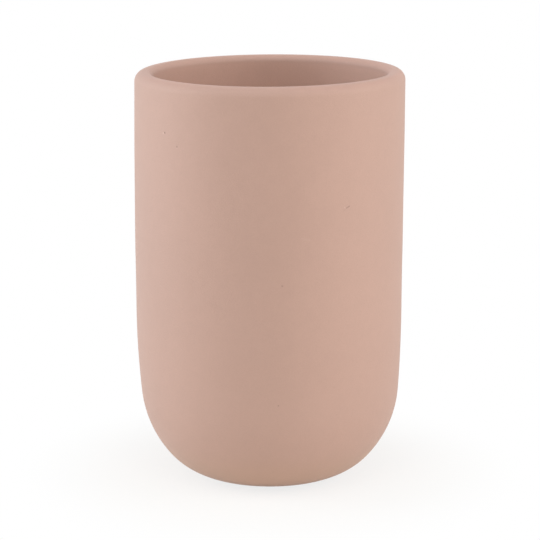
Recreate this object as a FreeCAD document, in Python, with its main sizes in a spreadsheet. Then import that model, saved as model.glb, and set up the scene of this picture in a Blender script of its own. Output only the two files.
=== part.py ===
import FreeCAD, Part
import math
import os
import Sketcher

# A bathroom tumbler: one slip-cast stoneware vessel with a thick rounded lip, a wall that
# bows in towards a full round base, and a ground foot ring. A soft disc, held by a film of
# adhesive in a recess under the foot, keeps it from sliding and carries its weight.
# The origin is the centre of the disc's underside, where the tumbler stands, and +Z is up.

# Millimetres and degrees. A turn is the angle that an arc of the profile sweeps, and a name
# that ends in share is a ratio.
SIZES = {
    "stoneware_height": 122.25,
    "mouth_diameter": 80.0,
    "wall_thickness": 5.3,
    "lip_outer_round_share": 0.53,
    "lip_inner_round_share": 0.37,
    "bow_radius": 310.0,
    "bow_turn": 4.7,
    "belly_radius": 33.0,
    "belly_turn": 36.5,
    "foot_bend_radius": 20.0,
    "foot_break_angle": 12.0,
    "floor_thickness": 6.0,
    "foot_ring_width": 2.6,
    "foot_ring_round_share": 0.2,
    "recess_depth": 1.2,
    "recess_corner_share": 0.75,
    "pad_clearance": 0.4,
    "pad_thickness": 1.8,
    "pad_edge_round_share": 0.2,
    "film_thickness": 0.15,
    "cut_overrun": 1.0,
}
UPRIGHT = 90.0
FULL_TURN = 360.0
MATCH = 1e-4

doc = FreeCAD.newDocument("bathroom_tumbler")
sheet = doc.addObject("Spreadsheet::Sheet", "Sizes")
for row, (alias, value) in enumerate(SIZES.items(), start=1):
    sheet.set(f"A{row}", alias)
    sheet.set(f"B{row}", str(value))
    sheet.setAlias(f"B{row}", alias)
doc.recompute()


def size(alias):
    """The value of a named cell."""
    return float(sheet.get(alias))


# Helpers

def new_body(label):
    """An empty body for one piece of the tumbler."""
    body = doc.addObject("PartDesign::Body", label)
    body.Label = label
    return body


def origin_plane(body, role):
    """One of a body's own base planes."""
    return next(f for f in body.Origin.OriginFeatures if f.Role == role)


def new_sketch(body, name, role):
    """An empty sketch on one of the body's base planes."""
    sketch = body.newObject("Sketcher::SketchObject", name)
    sketch.AttachmentSupport = (origin_plane(body, role), [""])
    sketch.MapMode = "FlatFace"
    return sketch


def dimension(sketch, name, formula, kind, *where):
    """Adds a named dimension that follows a formula on the sheet's cells."""
    index = sketch.addConstraint(Sketcher.Constraint(kind, *where))
    sketch.renameConstraint(index, name)
    sketch.setExpression(f"Constraints.{name}", formula)


def measure(sketch, name, kind, *where):
    """Adds a named dimension that only reports, for other pieces to follow."""
    index = sketch.addConstraint(Sketcher.Constraint(kind, *where))
    sketch.renameConstraint(index, name)
    sketch.setDriving(index, False)


def point(radius, height):
    """A point of a sketch: how far from the axis, and how high."""
    return FreeCAD.Vector(radius, height, 0)


def line(start, end):
    return Part.LineSegment(start, end)


def rising_arc(start, radius, slope, turn):
    """The arc that leaves start at a slope above level and turns upwards, and its end."""
    first = math.radians(slope - UPRIGHT)
    last = math.radians(slope + turn - UPRIGHT)
    centre = start - point(radius * math.cos(first), radius * math.sin(first))
    end = centre + point(radius * math.cos(last), radius * math.sin(last))
    circle = Part.Circle(centre, FreeCAD.Vector(0, 0, 1), radius)
    return Part.ArcOfCircle(circle, first, last), end


def radial_travel(radius, slope, turn):
    """How far an arc leads away from the axis as it turns upwards."""
    return radius * (math.sin(math.radians(slope + turn)) - math.sin(math.radians(slope)))


def ring_edges(feature, radius, height):
    """The names of the feature's whole circles of one radius at one height."""
    names = []
    for number, edge in enumerate(feature.Shape.Edges, start=1):
        if not isinstance(edge.Curve, Part.Circle) or not edge.isClosed():
            continue
        at_height = abs(edge.Curve.Center.z - height) < MATCH
        if at_height and abs(edge.Curve.Radius - radius) < MATCH:
            names.append(f"Edge{number}")
    if not names:
        raise RuntimeError(f"{feature.Name} has no circle of radius {radius} at {height}")
    return names


def round_ring(body, base, name, radius, height, formula):
    """Rounds one circular edge, by a radius that follows a formula."""
    fillet = body.newObject("PartDesign::Fillet", name)
    fillet.Base = (base, ring_edges(base, radius, height))
    fillet.setExpression("Radius", formula)
    doc.recompute()
    return fillet


def removes(before, after):
    """Stops the build if a cut took nothing away."""
    if not after.Shape.Volume < before.Shape.Volume:
        raise RuntimeError(f"{after.Name} cuts nothing")


# The stoneware vessel. Its own foot plane is at height zero, and the pad lifts it.

FOOT_BEND_TURN = f"{UPRIGHT} - Sizes.bow_turn - Sizes.belly_turn - Sizes.foot_break_angle"
ORIGIN = (-1, 1)

foot_slope = size("foot_break_angle")
bow_slope = UPRIGHT - size("bow_turn")
belly_slope = bow_slope - size("belly_turn")
foot_bend_turn = belly_slope - foot_slope
mouth_radius = size("mouth_diameter") / 2
foot_radius = (
    mouth_radius
    - radial_travel(size("foot_bend_radius"), foot_slope, foot_bend_turn)
    - radial_travel(size("belly_radius"), belly_slope, size("belly_turn"))
    - radial_travel(size("bow_radius"), bow_slope, size("bow_turn"))
)
lip_height = size("stoneware_height")

vessel = new_body("stoneware_vessel")

# The outside is drawn from the foot's edge up to the lip: foot bend, belly, bow, wall.
outline = new_sketch(vessel, "OuterProfile", "XZ_Plane")
foot_edge = point(foot_radius, 0)
foot_bend, belly_start = rising_arc(
    foot_edge, size("foot_bend_radius"), foot_slope, foot_bend_turn
)
belly, bow_start = rising_arc(
    belly_start, size("belly_radius"), belly_slope, size("belly_turn")
)
bow, wall_start = rising_arc(bow_start, size("bow_radius"), bow_slope, size("bow_turn"))
rim = point(mouth_radius, lip_height)
FOOT, FOOT_BEND, BELLY, BOW, WALL, TOP, CORE = outline.addGeometry(
    [
        line(point(0, 0), foot_edge),
        foot_bend,
        belly,
        bow,
        line(wall_start, rim),
        line(rim, point(0, lip_height)),
        line(point(0, lip_height), point(0, 0)),
    ],
    False,
)
outline.addConstraint(
    [
        Sketcher.Constraint("Coincident", FOOT, 1, *ORIGIN),
        Sketcher.Constraint("Horizontal", FOOT),
        Sketcher.Constraint("Coincident", FOOT, 2, FOOT_BEND, 1),
        Sketcher.Constraint("Tangent", FOOT_BEND, 2, BELLY, 1),
        Sketcher.Constraint("Tangent", BELLY, 2, BOW, 1),
        Sketcher.Constraint("Tangent", BOW, 2, WALL, 1),
        Sketcher.Constraint("Vertical", WALL),
        Sketcher.Constraint("Coincident", WALL, 2, TOP, 1),
        Sketcher.Constraint("Horizontal", TOP),
        Sketcher.Constraint("Coincident", TOP, 2, CORE, 1),
        Sketcher.Constraint("Vertical", CORE),
        Sketcher.Constraint("Coincident", CORE, 2, FOOT, 1),
    ]
)
dimension(
    outline, "foot_bend_radius", "Sizes.foot_bend_radius",
    "Radius", FOOT_BEND, size("foot_bend_radius"),
)
dimension(
    outline, "belly_radius", "Sizes.belly_radius",
    "Radius", BELLY, size("belly_radius"),
)
dimension(
    outline, "bow_radius", "Sizes.bow_radius",
    "Radius", BOW, size("bow_radius"),
)
dimension(
    outline, "foot_bend_turn", FOOT_BEND_TURN,
    "Angle", FOOT_BEND, math.radians(foot_bend_turn),
)
dimension(
    outline, "belly_turn", "Sizes.belly_turn",
    "Angle", BELLY, math.radians(size("belly_turn")),
)
dimension(
    outline, "bow_turn", "Sizes.bow_turn",
    "Angle", BOW, math.radians(size("bow_turn")),
)
dimension(
    outline, "mouth_radius", "Sizes.mouth_diameter / 2",
    "DistanceX", *ORIGIN, WALL, 2, mouth_radius,
)
dimension(
    outline, "lip_height", "Sizes.stoneware_height",
    "DistanceY", *ORIGIN, WALL, 2, lip_height,
)
measure(outline, "wall_start_height", "DistanceY", *ORIGIN, WALL, 1, wall_start.y)

# Two construction lines step in along the foot: the bare ring's width, then the gap that
# keeps the pad clear of its recess.
recess_radius = foot_radius - size("foot_ring_width")
pad_radius = recess_radius - size("pad_clearance")
RING, GAP = outline.addGeometry(
    [
        line(foot_edge, point(recess_radius, 0)),
        line(point(recess_radius, 0), point(pad_radius, 0)),
    ],
    True,
)
outline.addConstraint(
    [
        Sketcher.Constraint("Coincident", RING, 1, FOOT, 2),
        Sketcher.Constraint("Horizontal", RING),
        Sketcher.Constraint("Coincident", GAP, 1, RING, 2),
        Sketcher.Constraint("Horizontal", GAP),
    ]
)
dimension(
    outline, "foot_ring_width", "Sizes.foot_ring_width",
    "DistanceX", RING, 2, RING, 1, size("foot_ring_width"),
)
dimension(
    outline, "pad_clearance", "Sizes.pad_clearance",
    "DistanceX", GAP, 2, GAP, 1, size("pad_clearance"),
)
measure(outline, "recess_radius", "DistanceX", *ORIGIN, RING, 2, recess_radius)
measure(outline, "pad_radius", "DistanceX", *ORIGIN, GAP, 2, pad_radius)

form = vessel.newObject("PartDesign::Revolution", "OuterForm")
form.Profile = outline
form.ReferenceAxis = (outline, ["V_Axis"])
form.Angle = FULL_TURN
doc.recompute()

# The cavity keeps the wall's thickness round the bow and the belly, and one more arc then
# runs out level on the floor.
wall = size("wall_thickness")
cavity_radius = mouth_radius - wall
floor_height = size("floor_thickness")
inset = point(
    -wall * math.sin(math.radians(belly_slope)), wall * math.cos(math.radians(belly_slope))
)
inner_belly_start = belly_start + inset
floor_bend_drop = inner_belly_start.y - floor_height
floor_bend_radius = floor_bend_drop / (1 - math.cos(math.radians(belly_slope)))
floor_edge = point(
    inner_belly_start.x - radial_travel(floor_bend_radius, 0, belly_slope), floor_height
)
floor_bend, _ = rising_arc(floor_edge, floor_bend_radius, 0, belly_slope)
inner_belly, inner_bow_start = rising_arc(
    inner_belly_start, size("belly_radius") - wall, belly_slope, size("belly_turn")
)
inner_bow, inner_wall_start = rising_arc(
    inner_bow_start, size("bow_radius") - wall, bow_slope, size("bow_turn")
)
cut_height = lip_height + size("cut_overrun")
cavity = new_sketch(vessel, "CavityProfile", "XZ_Plane")
cavity_lines = cavity.addGeometry(
    [
        line(point(0, floor_height), floor_edge),
        floor_bend,
        inner_belly,
        inner_bow,
        line(inner_wall_start, point(cavity_radius, cut_height)),
        line(point(cavity_radius, cut_height), point(0, cut_height)),
        line(point(0, cut_height), point(0, floor_height)),
    ],
    False,
)
FLOOR, FLOOR_BEND, INNER_BELLY, INNER_BOW, INNER_WALL, OPEN_TOP, CAVITY_CORE = cavity_lines
cavity.addConstraint(
    [
        Sketcher.Constraint("Vertical", *ORIGIN, FLOOR, 1),
        Sketcher.Constraint("Horizontal", FLOOR),
        Sketcher.Constraint("Tangent", FLOOR, 2, FLOOR_BEND, 1),
        Sketcher.Constraint("Tangent", FLOOR_BEND, 2, INNER_BELLY, 1),
        Sketcher.Constraint("Tangent", INNER_BELLY, 2, INNER_BOW, 1),
        Sketcher.Constraint("Tangent", INNER_BOW, 2, INNER_WALL, 1),
        Sketcher.Constraint("Vertical", INNER_WALL),
        Sketcher.Constraint("Coincident", INNER_WALL, 2, OPEN_TOP, 1),
        Sketcher.Constraint("Horizontal", OPEN_TOP),
        Sketcher.Constraint("Coincident", OPEN_TOP, 2, CAVITY_CORE, 1),
        Sketcher.Constraint("Coincident", CAVITY_CORE, 2, FLOOR, 1),
        Sketcher.Constraint("Vertical", CAVITY_CORE),
    ]
)
dimension(
    cavity, "floor_thickness", "Sizes.floor_thickness",
    "DistanceY", *ORIGIN, FLOOR, 1, floor_height,
)
dimension(
    cavity, "inner_belly_radius", "Sizes.belly_radius - Sizes.wall_thickness",
    "Radius", INNER_BELLY, size("belly_radius") - wall,
)
dimension(
    cavity, "inner_bow_radius", "Sizes.bow_radius - Sizes.wall_thickness",
    "Radius", INNER_BOW, size("bow_radius") - wall,
)
dimension(
    cavity, "inner_belly_turn", "Sizes.belly_turn",
    "Angle", INNER_BELLY, math.radians(size("belly_turn")),
)
dimension(
    cavity, "inner_bow_turn", "Sizes.bow_turn",
    "Angle", INNER_BOW, math.radians(size("bow_turn")),
)
dimension(
    cavity, "cavity_radius", "Sizes.mouth_diameter / 2 - Sizes.wall_thickness",
    "DistanceX", *ORIGIN, INNER_WALL, 2, cavity_radius,
)
dimension(
    cavity, "inner_wall_start", "OuterProfile.Constraints.wall_start_height",
    "DistanceY", *ORIGIN, INNER_WALL, 1, wall_start.y,
)
dimension(
    cavity, "cut_height", "Sizes.stoneware_height + Sizes.cut_overrun",
    "DistanceY", *ORIGIN, INNER_WALL, 2, cut_height,
)

hollow = vessel.newObject("PartDesign::Groove", "Cavity")
hollow.Profile = cavity
hollow.ReferenceAxis = (cavity, ["V_Axis"])
hollow.Angle = FULL_TURN
doc.recompute()
removes(form, hollow)

# The lip is rounded off outside and in, with a narrow level crest between.
outer_lip = round_ring(
    vessel, hollow, "LipOuterRound", mouth_radius, lip_height,
    "Sizes.wall_thickness * Sizes.lip_outer_round_share",
)
inner_lip = round_ring(
    vessel, outer_lip, "LipInnerRound", cavity_radius, lip_height,
    "Sizes.wall_thickness * Sizes.lip_inner_round_share",
)

# The shallow recess under the foot leaves a ring of bare stoneware round the pad.
recess_sketch = new_sketch(vessel, "RecessCircle", "XY_Plane")
RECESS_EDGE = recess_sketch.addGeometry(
    Part.Circle(point(0, 0), FreeCAD.Vector(0, 0, 1), recess_radius), False
)
recess_sketch.addConstraint(Sketcher.Constraint("Coincident", RECESS_EDGE, 3, *ORIGIN))
dimension(
    recess_sketch, "recess_radius", "OuterProfile.Constraints.recess_radius",
    "Radius", RECESS_EDGE, recess_radius,
)
recess = vessel.newObject("PartDesign::Pocket", "PadRecess")
recess.Profile = recess_sketch
recess.Reversed = True
recess.setExpression("Length", "Sizes.recess_depth")
doc.recompute()
removes(inner_lip, recess)
recess_corner = round_ring(
    vessel, recess, "RecessCorner", recess_radius, size("recess_depth"),
    "Sizes.pad_clearance * Sizes.recess_corner_share",
)
foot_ring = round_ring(
    vessel, recess_corner, "FootRingRound", recess_radius, 0,
    "Sizes.foot_ring_width * Sizes.foot_ring_round_share",
)
vessel.setExpression(
    ".Placement.Base.z", "Sizes.pad_thickness + Sizes.film_thickness - Sizes.recess_depth"
)

# The soft disc and its film are cut to one circle, which clears the recess all round.

def disc(label, thickness):
    """A flat round piece of the pad's radius. Returns its body and the raised disc."""
    body = new_body(label)
    sketch = new_sketch(body, f"{label}_circle", "XY_Plane")
    edge = sketch.addGeometry(
        Part.Circle(point(0, 0), FreeCAD.Vector(0, 0, 1), pad_radius), False
    )
    sketch.addConstraint(Sketcher.Constraint("Coincident", edge, 3, *ORIGIN))
    dimension(
        sketch, "pad_radius", "OuterProfile.Constraints.pad_radius",
        "Radius", edge, pad_radius,
    )
    raised = body.newObject("PartDesign::Pad", f"{label}_disc")
    raised.Profile = sketch
    raised.setExpression("Length", thickness)
    doc.recompute()
    return body, raised


pad, pad_disc = disc("non_slip_pad", "Sizes.pad_thickness")
round_ring(
    pad, pad_disc, "PadEdgeRound", pad_radius, 0,
    "Sizes.pad_thickness * Sizes.pad_edge_round_share",
)
film, _ = disc("adhesive_film", "Sizes.film_thickness")
film.setExpression(".Placement.Base.z", "Sizes.pad_thickness")
doc.recompute()

# Every piece is checked before any file is written.
PIECES = [vessel, pad, film]
for item in doc.Objects:
    if "Invalid" in item.State or "Error" in item.State:
        raise RuntimeError(f"{item.Label} failed: {item.State}")
for piece in PIECES:
    if piece.Shape.isNull() or not piece.Shape.isValid() or len(piece.Shape.Solids) != 1:
        raise RuntimeError(f"{piece.Label} is not one sound solid")

os.makedirs("parts", exist_ok=True)
for piece in PIECES:
    piece.Shape.exportStep(f"parts/{piece.Label}.step")
    print(piece.Label, "volume", round(piece.Shape.Volume), piece.Shape.BoundBox)
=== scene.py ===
import math

import bpy
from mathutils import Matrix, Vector


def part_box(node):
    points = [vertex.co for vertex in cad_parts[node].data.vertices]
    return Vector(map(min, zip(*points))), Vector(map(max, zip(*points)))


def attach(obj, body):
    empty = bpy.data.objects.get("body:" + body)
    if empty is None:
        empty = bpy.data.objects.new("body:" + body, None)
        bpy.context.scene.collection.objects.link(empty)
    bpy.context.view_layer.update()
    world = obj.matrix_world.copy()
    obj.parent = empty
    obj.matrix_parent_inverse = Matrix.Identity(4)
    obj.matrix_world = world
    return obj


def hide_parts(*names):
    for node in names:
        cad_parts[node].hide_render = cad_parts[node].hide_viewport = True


# A free-standing bathroom tumbler in matt dusty-pink stoneware, standing on its non-slip
# pad. The vessel is turned here as one smooth glazed shell with a bare foot ring, and the
# pad and its film keep their own solids. Lengths are in metres and angles in radians, where
# nothing else is said, and a name that ends in share is a ratio.
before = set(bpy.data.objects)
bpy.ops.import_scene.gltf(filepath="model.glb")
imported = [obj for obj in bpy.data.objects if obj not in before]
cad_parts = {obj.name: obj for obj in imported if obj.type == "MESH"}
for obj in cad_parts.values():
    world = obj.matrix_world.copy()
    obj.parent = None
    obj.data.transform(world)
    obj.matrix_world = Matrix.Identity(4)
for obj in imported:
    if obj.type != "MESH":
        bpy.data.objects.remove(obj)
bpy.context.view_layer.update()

MM = 0.001
QUARTER_TURN = math.radians(90)

VESSEL_LOW, VESSEL_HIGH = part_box("stoneware_vessel")
PAD_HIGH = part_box("non_slip_pad")[1]

WALL = 5.3 * MM
PAD_CLEARANCE = 0.4 * MM
RECESS_RADIUS = max(PAD_HIGH.x, PAD_HIGH.y) + PAD_CLEARANCE
RECESS_DEPTH = 1.2 * MM
FOOT_RING_WIDTH = 2.6 * MM

# The inputs of the vessel's geometry tree. From Unevenness on, they say how far casting and
# firing put the vessel out of true.
VESSEL_SIZES = {
    "Base Height": VESSEL_LOW.z,
    "Height": VESSEL_HIGH.z - VESSEL_LOW.z,
    "Mouth Radius": max(VESSEL_HIGH.x, VESSEL_HIGH.y),
    "Wall": WALL,
    "Lip Outer Round": 0.53 * WALL,
    "Lip Inner Round": 0.37 * WALL,
    "Bow Radius": 310 * MM,
    "Bow Turn": math.radians(4.7),
    "Belly Radius": 33 * MM,
    "Belly Turn": math.radians(36.5),
    "Foot Bend Radius": 20 * MM,
    "Foot Break": math.radians(12),
    "Floor": 6 * MM,
    "Recess Radius": RECESS_RADIUS,
    "Recess Depth": RECESS_DEPTH,
    "Recess Corner": 0.75 * PAD_CLEARANCE,
    "Foot Ring Round": 0.2 * FOOT_RING_WIDTH,
    "Unevenness": 0.1 * MM,
    "Unevenness Size": 45 * MM,
    "Sway": 0.325 * MM,
    "Sway Start": 14 * MM,
    "Sway Full": 44 * MM,
    "Swell": 0.11 * MM,
    "Swell Start": 56 * MM,
    "Swell Full": 74 * MM,
    "Swell End Depth": 24 * MM,
    "Rim Tilt": 0.24 * MM,
    "Rim Tilt Depth": 20 * MM,
    "Seed": 3,
}


# Node trees as Python

class Socket:
    """A node's output with arithmetic: each operation adds its Math node."""

    def __init__(self, graph, output):
        self.graph = graph
        self.output = output

    def also(self, name):
        """Another output of the same node."""
        return Socket(self.graph, self.graph.find(self.output.node.outputs, name))

    def math(self, operation, *values):
        inputs = dict(enumerate((self,) + values))
        return self.graph.add("ShaderNodeMath", {"operation": operation}, inputs)

    def __add__(self, other):
        return self.math("ADD", other)

    __radd__ = __add__

    def __sub__(self, other):
        return self.math("SUBTRACT", other)

    def __rsub__(self, other):
        return self.math("MULTIPLY_ADD", -1, other)

    def __mul__(self, other):
        return self.math("MULTIPLY", other)

    __rmul__ = __mul__

    def __truediv__(self, other):
        return self.math("DIVIDE", other)

    def __rtruediv__(self, other):
        return self.math("POWER", -1) * other


class Graph:
    """A node tree, and the one way to add a node to it."""

    def __init__(self, tree):
        self.tree = tree

    def add(self, kind, settings=None, inputs=None, output=0):
        """Makes a node, sets it up, feeds its inputs and returns one of its outputs."""
        node = self.tree.nodes.new(kind)
        for name, value in (settings or {}).items():
            setattr(node, name, value)
        for key, value in (inputs or {}).items():
            self.feed(self.find(node.inputs, key), value)
        return Socket(self, self.find(node.outputs, output)) if node.outputs else None

    @staticmethod
    def find(sockets, key):
        """A socket by its number, or by its name among those that the settings show."""
        if isinstance(key, int):
            return sockets[key]
        return next(s for s in sockets if s.name == key and s.enabled)

    def feed(self, target, value):
        """Links an output to an input, or several in order, or sets the input's own value."""
        for source in value if isinstance(value, list) else [value]:
            if isinstance(source, Socket):
                self.tree.links.new(source.output, target)
            else:
                target.default_value = source


def sine(angle):
    return angle.math("SINE") if isinstance(angle, Socket) else math.sin(angle)


def cosine(angle):
    return angle.math("COSINE") if isinstance(angle, Socket) else math.cos(angle)


def ramp(value, start, end):
    """0 before start and 1 past end, with a smooth step between."""
    return value.graph.add(
        "ShaderNodeMapRange", {"interpolation_type": "SMOOTHSTEP"},
        {"Value": value, "From Min": start, "From Max": end},
    )


def mix_colours(graph, share, one, other):
    """From one colour to another, as share goes from 0 to 1."""
    return graph.add(
        "ShaderNodeMix", {"data_type": "RGBA"}, {"Factor": share, "A": one, "B": other},
        "Result",
    )


def vector_math(graph, operation, inputs, output="Vector"):
    return graph.add("ShaderNodeVectorMath", {"operation": operation}, inputs, output)


def part(graph, vector, axis):
    """A vector's X, Y or Z."""
    return graph.add("ShaderNodeSeparateXYZ", None, {"Vector": vector}, axis)


def off_axis(graph, place):
    """The way to a place from the upright axis, straight out."""
    return vector_math(graph, "MULTIPLY", {0: place, 1: (1, 1, 0)})


def noise(graph, place, size, detail=2.0, seed=0.0):
    """Soft noise about zero, mostly within half a unit, with features of a real size."""
    level = graph.add(
        "ShaderNodeTexNoise", {"noise_dimensions": "4D"},
        {"Vector": place, "W": seed, "Scale": 1 / size, "Detail": detail},
    )
    return level - 0.5


def cells(graph, place, size):
    """How far each place is from the middle of its cell, where the cell's size is 1."""
    return graph.add(
        "ShaderNodeTexVoronoi", {"feature": "F1"}, {"Vector": place, "Scale": 1 / size}
    )


# The turned shell

SWEEP_RADIUS = 10 * MM
WELD = 0.001 * MM
SEGMENTS = 288


class Outline:
    """Draws half a section, one stretch after another, as radius and height from the foot."""

    def __init__(self, graph, radius, height, heading):
        self.graph = graph
        self.radius = radius
        self.height = height
        self.heading = heading
        self.stretches = []

    def place(self, radius, height):
        """A point as the sweep takes it: out from its circle, and upside down."""
        return self.graph.add(
            "ShaderNodeCombineXYZ", None, {"X": radius - SWEEP_RADIUS, "Y": -1 * height}
        )

    def line_to(self, radius, height, rows):
        """Goes straight to a point."""
        start = self.place(self.radius, self.height)
        end = self.place(radius, height)
        line = self.graph.add(
            "GeometryNodeCurvePrimitiveLine", None, {"Start": start, "End": end}
        )
        spaced = self.graph.add(
            "GeometryNodeResampleCurve", None, {"Curve": line, "Count": rows + 1}
        )
        self.stretches.append(spaced)
        self.radius = radius
        self.height = height

    def turn(self, bend_radius, angle, rows, side=1):
        """Goes round an arc that turns left, or right where side is -1."""
        reach = side * bend_radius
        centre_radius = self.radius - reach * sine(self.heading)
        centre_height = self.height + reach * cosine(self.heading)
        arc = self.graph.add(
            "GeometryNodeCurveArc", {"mode": "RADIUS"},
            {
                "Resolution": rows + 1,
                "Radius": bend_radius,
                "Start Angle": -1 * (self.heading - side * QUARTER_TURN),
                "Sweep Angle": -side * angle,
            },
        )
        centre = self.place(centre_radius, centre_height)
        placed = self.graph.add(
            "GeometryNodeTransform", None, {"Geometry": arc, "Translation": centre}
        )
        self.stretches.append(placed)
        self.heading = self.heading + side * angle
        self.radius = centre_radius + reach * sine(self.heading)
        self.height = centre_height - reach * cosine(self.heading)

    def revolve(self):
        """Turns the outline round the upright axis into one closed skin that faces outwards."""
        add = self.graph.add
        joined = add("GeometryNodeJoinGeometry", None, {"Geometry": self.stretches})
        circle = add(
            "GeometryNodeCurvePrimitiveCircle", {"mode": "RADIUS"},
            {"Resolution": SEGMENTS, "Radius": SWEEP_RADIUS},
        )
        swept = add(
            "GeometryNodeCurveToMesh", None, {"Curve": circle, "Profile Curve": joined}
        )
        welded = add("GeometryNodeMergeByDistance", None, {"Geometry": swept, "Distance": WELD})
        return add("GeometryNodeFlipFaces", None, {"Mesh": welded})


def new_geometry_tree(name, sizes):
    """A tree with a named input for each size. Returns the inputs as sockets by name."""
    tree = bpy.data.node_groups.new(name, "GeometryNodeTree")
    tree.interface.new_socket("Geometry", in_out="OUTPUT", socket_type="NodeSocketGeometry")
    for label in sizes:
        tree.interface.new_socket(label, in_out="INPUT", socket_type="NodeSocketFloat")
    graph = Graph(tree)
    entry = graph.add("NodeGroupInput")
    return graph, {label: entry.also(label) for label in sizes}


def travel(radius, slope, turn):
    """How far an arc leads away from the axis as it turns upwards."""
    return radius * (sine(slope + turn) - sine(slope))


def draw_vessel(graph, size):
    """The vessel's half section, from the middle of its recess out, up, in and down."""
    foot_break = size["Foot Break"]
    bow_slope = QUARTER_TURN - size["Bow Turn"]
    belly_slope = bow_slope - size["Belly Turn"]
    foot_bend_turn = belly_slope - foot_break
    foot_radius = (
        size["Mouth Radius"]
        - travel(size["Foot Bend Radius"], foot_break, foot_bend_turn)
        - travel(size["Belly Radius"], belly_slope, size["Belly Turn"])
        - travel(size["Bow Radius"], bow_slope, size["Bow Turn"])
    )
    cavity_radius = size["Mouth Radius"] - size["Wall"]
    recess = size["Recess Depth"]
    lip = size["Height"]

    walk = Outline(graph, 0, recess, 0)
    walk.line_to(size["Recess Radius"] - size["Recess Corner"], recess, rows=12)
    walk.turn(size["Recess Corner"], QUARTER_TURN, rows=3, side=-1)
    walk.line_to(size["Recess Radius"], size["Foot Ring Round"], rows=2)
    walk.turn(size["Foot Ring Round"], QUARTER_TURN, rows=4)
    walk.line_to(foot_radius, 0, rows=3)
    walk.heading = foot_break
    walk.turn(size["Foot Bend Radius"], foot_bend_turn, rows=14)
    walk.turn(size["Belly Radius"], size["Belly Turn"], rows=18)
    walk.turn(size["Bow Radius"], size["Bow Turn"], rows=16)
    wall_start = walk.height
    walk.line_to(size["Mouth Radius"], lip - size["Lip Outer Round"], rows=44)
    walk.turn(size["Lip Outer Round"], QUARTER_TURN, rows=10)
    walk.line_to(cavity_radius + size["Lip Inner Round"], lip, rows=2)
    walk.turn(size["Lip Inner Round"], QUARTER_TURN, rows=8)
    walk.line_to(cavity_radius, wall_start, rows=40)
    walk.turn(size["Bow Radius"] - size["Wall"], size["Bow Turn"], rows=14, side=-1)
    walk.turn(size["Belly Radius"] - size["Wall"], size["Belly Turn"], rows=14, side=-1)
    floor_bend = (walk.height - size["Floor"]) / (1 - cosine(belly_slope))
    walk.turn(floor_bend, belly_slope, rows=10, side=-1)
    walk.line_to(0, size["Floor"], rows=12)
    return walk


FLAT_FOOT = 3 * MM
FULL_UNEVENNESS = 14 * MM


def wave_surface(graph, size, skin, place, height):
    """Casting: soft waves in the surface, which fade out above the flat foot."""
    waves = noise(graph, place, size["Unevenness Size"], detail=1.0, seed=size["Seed"])
    reach = waves * size["Unevenness"] * ramp(height, FLAT_FOOT, FULL_UNEVENNESS)
    facing = graph.add("GeometryNodeInputNormal")
    outwards = vector_math(graph, "SCALE", {0: facing, "Scale": reach})
    return graph.add("GeometryNodeSetPosition", None, {"Geometry": skin, "Offset": outwards})


def fire(graph, size, skin, place, height):
    """Firing: the wall sways to one side and swells a little, and the rim tilts."""
    top = size["Height"]
    sway_share = ramp(height, size["Sway Start"], size["Sway Full"])
    sway = -1 * size["Sway"] * sine(height / top * math.pi) * sway_share
    rim_share = ramp(height, top - size["Rim Tilt Depth"], top)
    tilt = size["Rim Tilt"] * part(graph, place, "X") / size["Mouth Radius"] * rim_share
    below_rim = 1 - ramp(height, top - size["Swell End Depth"], top)
    swell = size["Swell"] * ramp(height, size["Swell Start"], size["Swell Full"]) * below_rim
    from_axis = vector_math(graph, "NORMALIZE", {0: off_axis(graph, place)})
    swelling = vector_math(graph, "SCALE", {0: from_axis, "Scale": swell})
    leaning = graph.add("ShaderNodeCombineXYZ", None, {"X": sway, "Z": tilt})
    drift = vector_math(graph, "ADD", {0: leaning, 1: swelling})
    return graph.add("GeometryNodeSetPosition", None, {"Geometry": skin, "Offset": drift})


def make_vessel(finish):
    """The vessel as a plain mesh: the revolved outline, cast, fired and set on its pad."""
    graph, size = new_geometry_tree("turned_vessel", VESSEL_SIZES)
    add = graph.add
    skin = draw_vessel(graph, size).revolve()
    place = add("GeometryNodeInputPosition")
    height = part(graph, place, "Z")
    cast = wave_surface(graph, size, skin, place, height)
    fired = fire(graph, size, cast, place, height)
    lift = add("ShaderNodeCombineXYZ", None, {"Z": size["Base Height"]})
    lifted = add("GeometryNodeTransform", None, {"Geometry": fired, "Translation": lift})
    smooth = add("GeometryNodeSetShadeSmooth", None, {"Geometry": lifted})
    whole = add("GeometryNodeRealizeInstances", None, {"Geometry": smooth})
    glazed = add("GeometryNodeSetMaterial", None, {"Geometry": whole, "Material": finish})
    add("NodeGroupOutput", None, {"Geometry": glazed})
    return plain_mesh("glazed_vessel", graph.tree, VESSEL_SIZES)


def plain_mesh(name, tree, sizes):
    """Runs a geometry tree with its sizes and keeps the result as an ordinary object."""
    collection = bpy.context.scene.collection
    maker = bpy.data.objects.new(f"{name}_maker", bpy.data.meshes.new(f"{name}_maker"))
    collection.objects.link(maker)
    modifier = maker.modifiers.new("Turned", "NODES")
    modifier.node_group = tree
    for item in tree.interface.items_tree:
        if item.in_out == "INPUT":
            modifier[item.identifier] = float(sizes[item.name])
    evaluated = maker.evaluated_get(bpy.context.evaluated_depsgraph_get())
    made = bpy.data.objects.new(name, bpy.data.meshes.new_from_object(evaluated))
    collection.objects.link(made)
    maker.modifiers.remove(modifier)
    bpy.data.objects.remove(maker)
    return made


# Finishes

def new_material(name):
    """An empty material, its graph, and the place on the object that a pattern follows."""
    material = bpy.data.materials.new(name)
    material.use_nodes = True
    material.node_tree.nodes.clear()
    graph = Graph(material.node_tree)
    return material, graph, graph.add("ShaderNodeTexCoord", None, None, "Object")


def bump(graph, relief, depth, strength=1.0):
    """The normal of a surface that stands so deep where its relief is 1."""
    return graph.add(
        "ShaderNodeBump", None, {"Strength": strength, "Distance": depth, "Height": relief},
        "Normal",
    )


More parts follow.
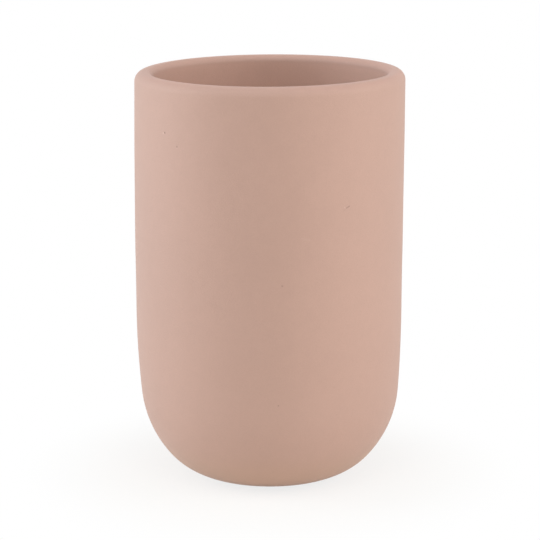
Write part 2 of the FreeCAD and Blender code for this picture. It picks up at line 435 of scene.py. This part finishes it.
def finish_surface(graph, inputs):
    """Ends a material in one Principled surface."""
    shader = graph.add("ShaderNodeBsdfPrincipled", None, inputs)
    graph.add("ShaderNodeOutputMaterial", None, {"Surface": shader})


GLAZE = (0.566, 0.3655, 0.2985)
# Painted light: the inside's glaze is lighter and redder than the outer wall's, for the light
# inside the cavity.
GLAZE_INSIDE_PAINTED_LIGHT = (0.612, 0.389, 0.308)
# Painted shade: the glaze is darker and warmer towards the foot.
GLAZE_PAINTED_SHADE_AT_FOOT = (0.548, 0.357, 0.274)
GLAZE_SPREAD = 0.03
# Painted highlight: a paler, pinker colour along the top of the rim.
GLAZE_PAINTED_HIGHLIGHT_ON_CREST = (0.665, 0.385, 0.305, 1)
# A pale colour for one scuff and, as painted highlights, for the lit sides of tiny nibs and
# pits.
PALE_SCUFF_AND_HIGHLIGHT_COLOUR = (0.740, 0.550, 0.480, 1)
SPECK = (0.300, 0.190, 0.150, 1)
BISCUIT = (0.640, 0.500, 0.400, 1)
BISCUIT_SAND = (0.480, 0.350, 0.260, 1)
GLAZE_ROUGHNESS = 0.62
BISCUIT_ROUGHNESS = 0.92
RELIEF_DEPTH = 1 * MM

# What varies over the glaze and the bare clay: its size, and how far it shows in each thing
CLOUDS = {"size": 28 * MM, "tone": 1.6, "crest": 0.8, "roughness": 0.08}
PEEL = {"size": 3.2 * MM, "tone": 0.8, "relief": 0.05}
TOOTH = {"size": 0.26 * MM, "tone": 2.4, "roughness": 0.12, "relief": 0.06}
SAND = {"size": 0.9 * MM, "tone": 2, "relief": 0.08}
MIDDLE_TONE = 0.5
SAND_SHARE = 0.4
CREST_PAINTED_HIGHLIGHT_SHARE = 0.4

# Specks strewn through the glaze. The flecks show on the back only.
FLECKS = {"spacing": 9 * MM, "reach": 0.22 * MM, "share": 0.5}
DUST = {"spacing": 3.5 * MM, "reach": 0.12 * MM, "share": 0.3}
SPECK_CORE = 0.3

# Where one thing gives way to another: from, and to
FOOT_PAINTED_SHADE_BAND = (4 * MM, 17 * MM)
FACING_IN_BAND = (0.3, 0.9)
INSIDE_END_BAND = (VESSEL_HIGH.z - 3 * MM, VESSEL_HIGH.z - 1 * MM)
CREST_PAINTED_HIGHLIGHT_BAND = (VESSEL_HIGH.z - 1.5 * MM, VESSEL_HIGH.z + 0.2 * MM)
BACK_BAND = (-10 * MM, 10 * MM)
RECESS_EDGE_BAND = (RECESS_RADIUS, RECESS_RADIUS + 0.4 * MM)
GLAZE_LINE = VESSEL_LOW.z + 0.22 * MM
GLAZE_LINE_BAND = (-0.03 * MM, 0.03 * MM)
GLAZE_LINE_WAVER = 0.25 * MM
WAVER_SIZE = 5 * MM

# Small faults in the glaze of the outer wall. Each starts and ends at so many degrees round
# from the front, to the right, and so many millimetres up, and reaches so many millimetres
# from there. Its last number is its share of the colour.
# The dark faults are pinholes and nibs, partly their own dark core and partly painted shade on
# the side away from the light.
DARK_FAULTS_AND_PAINTED_SHADE = (
    ((-48.2, 108.5), (-48.2, 108.5), 0.42, 0.75),
    ((-41.0, 105.0), (-41.0, 105.0), 0.36, 0.65),
    ((32.9, 88.0), (34.3, 88.4), 0.28, 0.50),
    ((31.3, 87.0), (32.9, 88.0), 0.20, 0.12),
    ((5.0, 66.7), (5.0, 66.7), 0.42, 0.40),
    ((3.5, 31.3), (3.5, 31.3), 0.34, 0.50),
)
# The pale ones are painted highlights on the lit sides of those nibs and pits, and the last is
# a faint pale scuff.
PALE_SCUFF_AND_PAINTED_HIGHLIGHTS = (
    ((-49.2, 108.3), (-49.2, 108.3), 0.38, 0.60),
    ((-41.0, 104.6), (-41.0, 104.6), 0.30, 0.35),
    ((32.0, 88.2), (32.0, 88.2), 0.32, 0.35),
    ((13.0, 80.2), (16.0, 79.8), 0.60, 0.07),
)
PINHOLE_RELIEF = 0.06
PIMPLE_RELIEF = 0.04


def unroll(graph, across, depth, height):
    """The outer wall laid flat: how far round from the front, to the right, and how far up."""
    turned = across.math("ARCTAN2", -1 * depth)
    return graph.add(
        "ShaderNodeCombineXYZ", None, {"X": turned * VESSEL_SIZES["Mouth Radius"], "Y": height}
    )


def on_unrolled(degrees, millimetres):
    """The place of a fault on the unrolled wall."""
    around = math.radians(degrees) * VESSEL_SIZES["Mouth Radius"]
    return Vector((around, millimetres * MM, 0))


def mark(graph, place, start, end, reach):
    """1 along a short line, or at a point, and 0 beyond its reach."""
    run = end - start
    away = vector_math(graph, "SUBTRACT", {0: place, 1: start})
    step = run / run.length_squared if run.length else run
    along = vector_math(graph, "DOT_PRODUCT", {0: away, 1: step}, "Value")
    along = along.math("MAXIMUM", 0).math("MINIMUM", 1)
    nearest = vector_math(graph, "SCALE", {0: run, "Scale": along})
    gap = vector_math(graph, "DISTANCE", {0: away, 1: nearest}, "Value")
    return 1 - ramp(gap, SPECK_CORE * reach, reach)


def faults(graph, unrolled, listed):
    """The strongest of the listed faults at each place."""
    strongest = 0
    for start, end, reach, share in listed:
        here = mark(graph, unrolled, on_unrolled(*start), on_unrolled(*end), reach * MM)
        strongest = (here * share).math("MAXIMUM", strongest)
    return strongest


def specks(graph, place, kind):
    """The share of the specks' colour at each place."""
    gap = cells(graph, place, kind["spacing"])
    reach = kind["reach"] / kind["spacing"]
    return (1 - ramp(gap, SPECK_CORE * reach, reach)) * kind["share"]


def shade(colour, factor):
    """A lighter or darker version of a colour."""
    return (*(channel * factor for channel in colour), 1)


def cavity(graph, normal, flat, radius, height):
    """1 on what faces the axis or upwards below the lip, and 0 on the outer wall."""
    upwards = part(graph, normal, "Z")
    outwards = vector_math(graph, "DOT_PRODUCT", {0: normal, 1: flat}, "Value") / radius
    below_lip = 1 - ramp(height, *INSIDE_END_BAND)
    return ramp(upwards - outwards, *FACING_IN_BAND) * below_lip


def bare_clay(graph, place, radius, height):
    """1 on the foot ring and in the recess, below an uneven glaze line, and 0 above it."""
    waver = noise(graph, place, WAVER_SIZE, detail=1.0, seed=8.0) * GLAZE_LINE_WAVER
    in_recess = 1 - ramp(radius, *RECESS_EDGE_BAND)
    line = GLAZE_LINE + waver + in_recess * RECESS_DEPTH
    return 1 - ramp(height - line, *GLAZE_LINE_BAND)


def stoneware_glaze():
    """Matt glaze over stoneware: faint clouds, fine grain, the odd fleck, and a bare foot."""
    material, graph, place = new_material("matt_pink_glaze")
    across = part(graph, place, "X")
    depth = across.also("Y")
    height = across.also("Z")
    flat = off_axis(graph, place)
    radius = vector_math(graph, "LENGTH", {0: flat}, "Value")
    clouds = noise(graph, place, CLOUDS["size"], detail=3.0, seed=1.0)
    tooth = noise(graph, place, TOOTH["size"], seed=2.0)
    peel = noise(graph, place, PEEL["size"], seed=4.0)
    sand = noise(graph, place, SAND["size"], detail=4.0, seed=7.0)

    tone = clouds * CLOUDS["tone"] + peel * PEEL["tone"] + tooth * TOOTH["tone"] + MIDDLE_TONE
    outside, inside_painted_light, at_foot_painted_shade = (
        mix_colours(graph, tone, shade(glaze, 1 - GLAZE_SPREAD), shade(glaze, 1 + GLAZE_SPREAD))
        for glaze in (GLAZE, GLAZE_INSIDE_PAINTED_LIGHT, GLAZE_PAINTED_SHADE_AT_FOOT)
    )
    # Painted shade: the glaze darkens and warms towards the foot.
    near_foot_painted_shade = 1 - ramp(height, *FOOT_PAINTED_SHADE_BAND)
    colour = mix_colours(graph, near_foot_painted_shade, outside, at_foot_painted_shade)
    in_cavity = cavity(graph, place.also("Normal"), flat, radius, height)
    # Painted light: what faces the axis or upwards below the lip takes the lighter inside
    # colour.
    colour = mix_colours(graph, in_cavity, colour, inside_painted_light)
    # Painted highlight along the rim's crest, varied by the clouds.
    on_crest = ramp(height, *CREST_PAINTED_HIGHLIGHT_BAND) * (CREST_PAINTED_HIGHLIGHT_SHARE + clouds * CLOUDS["crest"])
    colour = mix_colours(graph, on_crest, colour, GLAZE_PAINTED_HIGHLIGHT_ON_CREST)

    unrolled = unroll(graph, across, depth, height)
    outer = 1 - in_cavity
    # Dark faults: partly a dark core, partly painted shade.
    pinholes_and_painted_shade = faults(graph, unrolled, DARK_FAULTS_AND_PAINTED_SHADE) * outer
    # Pale marks: painted highlights on nibs and pits, and one real scuff.
    pimple_highlights_and_scuff = faults(graph, unrolled, PALE_SCUFF_AND_PAINTED_HIGHLIGHTS) * outer
    colour = mix_colours(graph, pimple_highlights_and_scuff, colour, PALE_SCUFF_AND_HIGHLIGHT_COLOUR)
    flecks = specks(graph, place, FLECKS) * ramp(depth, *BACK_BAND)
    dark = pinholes_and_painted_shade.math("MAXIMUM", flecks).math("MAXIMUM", specks(graph, place, DUST))
    colour = mix_colours(graph, dark, colour, SPECK)

    bare = bare_clay(graph, place, radius, height)
    sandy = (sand * SAND["tone"] + SAND_SHARE).math("MAXIMUM", 0)
    biscuit = mix_colours(graph, sandy, BISCUIT, BISCUIT_SAND)
    colour = mix_colours(graph, bare, colour, biscuit)

    glazed = GLAZE_ROUGHNESS + clouds * CLOUDS["roughness"] + tooth * TOOTH["roughness"]
    roughness = glazed + bare * (BISCUIT_ROUGHNESS - glazed)
    grain = tooth * TOOTH["relief"] + peel * PEEL["relief"]
    glazed_relief = grain + pimple_highlights_and_scuff * PIMPLE_RELIEF - pinholes_and_painted_shade * PINHOLE_RELIEF
    relief = glazed_relief + bare * (sand * SAND["relief"] - glazed_relief)
    finish_surface(
        graph,
        {
            "Base Color": colour,
            "Roughness": roughness,
            "Normal": bump(graph, relief, RELIEF_DEPTH),
            "Specular IOR Level": 0.4,
            "Sheen Weight": 0.12,
            "Sheen Roughness": 0.6,
        },
    )
    return material


FOAM = (0.45, 0.43, 0.41, 1)
FOAM_HOLLOW = (0.30, 0.285, 0.27, 1)
FOAM_CELLS = {"size": 0.45 * MM, "tone": 0.5, "depth": 0.08 * MM, "strength": 0.6}
FOAM_MOTTLE = {"size": 6 * MM, "tone": 0.4, "roughness": 0.1}
FOAM_ROUGHNESS = 0.85


def pad_foam():
    """Dense grey foam with fine closed cells."""
    material, graph, place = new_material("pad_foam")
    hollows = cells(graph, place, FOAM_CELLS["size"])
    mottle = noise(graph, place, FOAM_MOTTLE["size"], detail=3.0, seed=5.0)
    tone = hollows * FOAM_CELLS["tone"] + mottle * FOAM_MOTTLE["tone"]
    finish_surface(
        graph,
        {
            "Base Color": mix_colours(graph, tone, FOAM, FOAM_HOLLOW),
            "Roughness": FOAM_ROUGHNESS + mottle * FOAM_MOTTLE["roughness"],
            "Normal": bump(graph, hollows, FOAM_CELLS["depth"], FOAM_CELLS["strength"]),
        },
    )
    return material


ADHESIVE = (0.74, 0.72, 0.66, 1)
ADHESIVE_STREAK = (0.66, 0.63, 0.56, 1)
STREAKS = {"size": 2.5 * MM, "roughness": 0.2}
ADHESIVE_ROUGHNESS = 0.35


def film_adhesive():
    """The pad's milky adhesive film, seen only at its edge."""
    material, graph, place = new_material("film_adhesive")
    streaks = noise(graph, place, STREAKS["size"], detail=3.0, seed=6.0)
    finish_surface(
        graph,
        {
            "Base Color": mix_colours(graph, streaks + MIDDLE_TONE, ADHESIVE, ADHESIVE_STREAK),
            "Roughness": ADHESIVE_ROUGHNESS + streaks * STREAKS["roughness"],
        },
    )
    return material


# The pieces

vessel = make_vessel(stoneware_glaze())
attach(vessel, "root")
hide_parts("stoneware_vessel")

for node, finish in (("non_slip_pad", pad_foam()), ("adhesive_film", film_adhesive())):
    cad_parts[node].data.materials.clear()
    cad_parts[node].data.materials.append(finish)


# The studio: a pale floor, soft boxes left, right and in front, and plain white beyond

WHITE = (1, 1, 1, 1)
COOL = (0.89, 0.94, 1.0)
WARM = (1.0, 0.95, 0.92)
SURROUND_STRENGTH = 0.375
FLOOR_COLOUR = (0.96, 0.93, 0.86, 1)
FLOOR_REACH = 4.0
SHADOW_SHARE = 0.2
SHADOW_NEAR = 34 * MM
SHADOW_FAR = 80 * MM

# Each soft box by its degrees round from the front, to the right, and up, its width and
# height, its power in watts and its colour
SOFT_BOX_DISTANCE = 1.0
SOFT_BOXES = {
    "left_box": (-92, 6, 0.6, 1.2, 9.2, COOL),
    "right_box": (80, 6, 0.7, 1.2, 7.55, WARM),
    "front_box": (0, 55, 0.8, 0.8, 3.9, WHITE[:3]),
}


def background_rays(graph):
    """1 for the rays that show the background itself, as the eye or a gloss sees it."""
    rays = graph.add("ShaderNodeLightPath", None, None, "Is Camera Ray")
    seen = rays + rays.also("Is Glossy Ray") + rays.also("Is Transmission Ray")
    return seen.math("MINIMUM", 1)


def studio_world(strength):
    """Even soft light, with plain white behind the tumbler."""
    world = bpy.data.worlds.new("studio")
    world.use_nodes = True
    world.node_tree.nodes.clear()
    graph = Graph(world.node_tree)
    level = strength + background_rays(graph) * (1 - strength)
    light = graph.add("ShaderNodeBackground", None, {"Color": WHITE, "Strength": level})
    graph.add("ShaderNodeOutputWorld", None, {"Surface": light})
    bpy.context.scene.world = world


def studio_floor():
    """A pale floor that fades to plain white away from the tumbler and keeps its shadow."""
    corners = [
        (-FLOOR_REACH, -FLOOR_REACH, 0), (FLOOR_REACH, -FLOOR_REACH, 0),
        (FLOOR_REACH, FLOOR_REACH, 0), (-FLOOR_REACH, FLOOR_REACH, 0),
    ]
    mesh = bpy.data.meshes.new("studio_floor")
    mesh.from_pydata(corners, [], [(0, 1, 2, 3)])
    material, graph, place = new_material("white_floor")
    distance = vector_math(graph, "LENGTH", {0: place}, "Value")
    kept = SHADOW_SHARE * (1 - ramp(distance, SHADOW_NEAR, SHADOW_FAR))
    share = background_rays(graph) * (1 - kept)
    lit = graph.add("ShaderNodeBsdfDiffuse", None, {"Color": FLOOR_COLOUR})
    white = graph.add("ShaderNodeEmission", None, {"Color": WHITE, "Strength": 1.0})
    shown = graph.add("ShaderNodeMixShader", None, {0: share, 1: lit, 2: white})
    graph.add("ShaderNodeOutputMaterial", None, {"Surface": shown})
    mesh.materials.append(material)
    floor = bpy.data.objects.new("studio_floor", mesh)
    bpy.context.scene.collection.objects.link(floor)


def soft_box(name, azimuth, elevation, width, height, power, colour):
    """A soft box that faces the middle of the tumbler."""
    light = bpy.data.lights.new(name, "AREA")
    light.shape = "RECTANGLE"
    light.size = width
    light.size_y = height
    light.energy = power
    light.color = colour
    box = bpy.data.objects.new(name, light)
    around = math.radians(azimuth)
    up = math.radians(elevation)
    level = SOFT_BOX_DISTANCE * math.cos(up)
    box.location = (
        level * math.sin(around),
        -level * math.cos(around),
        SOFT_BOX_DISTANCE * math.sin(up) + VESSEL_HIGH.z / 2,
    )
    box.rotation_euler = (QUARTER_TURN - up, 0, around)
    bpy.context.scene.collection.objects.link(box)


studio_world(SURROUND_STRENGTH)
studio_floor()
for box_name, box_values in SOFT_BOXES.items():
    soft_box(box_name, *box_values)


# The camera, at the photograph's viewing angle

CAMERA_BACK = 639.9 * MM
CAMERA_HEIGHT = 206.55 * MM
CAMERA_PITCH = math.radians(12.694)
CAMERA_NEAREST = 10 * MM
LENS_MILLIMETRES = 145.08
SENSOR_MILLIMETRES = 36

camera_data = bpy.data.cameras.new("camera")
camera_data.lens = LENS_MILLIMETRES
camera_data.sensor_width = SENSOR_MILLIMETRES
camera_data.clip_start = CAMERA_NEAREST
camera = bpy.data.objects.new("camera", camera_data)
camera.location = (0, -CAMERA_BACK, CAMERA_HEIGHT)
camera.rotation_euler = (QUARTER_TURN - CAMERA_PITCH, 0, 0)
bpy.context.scene.collection.objects.link(camera)
bpy.context.scene.camera = camera
bpy.context.scene.view_settings.view_transform = "Standard"
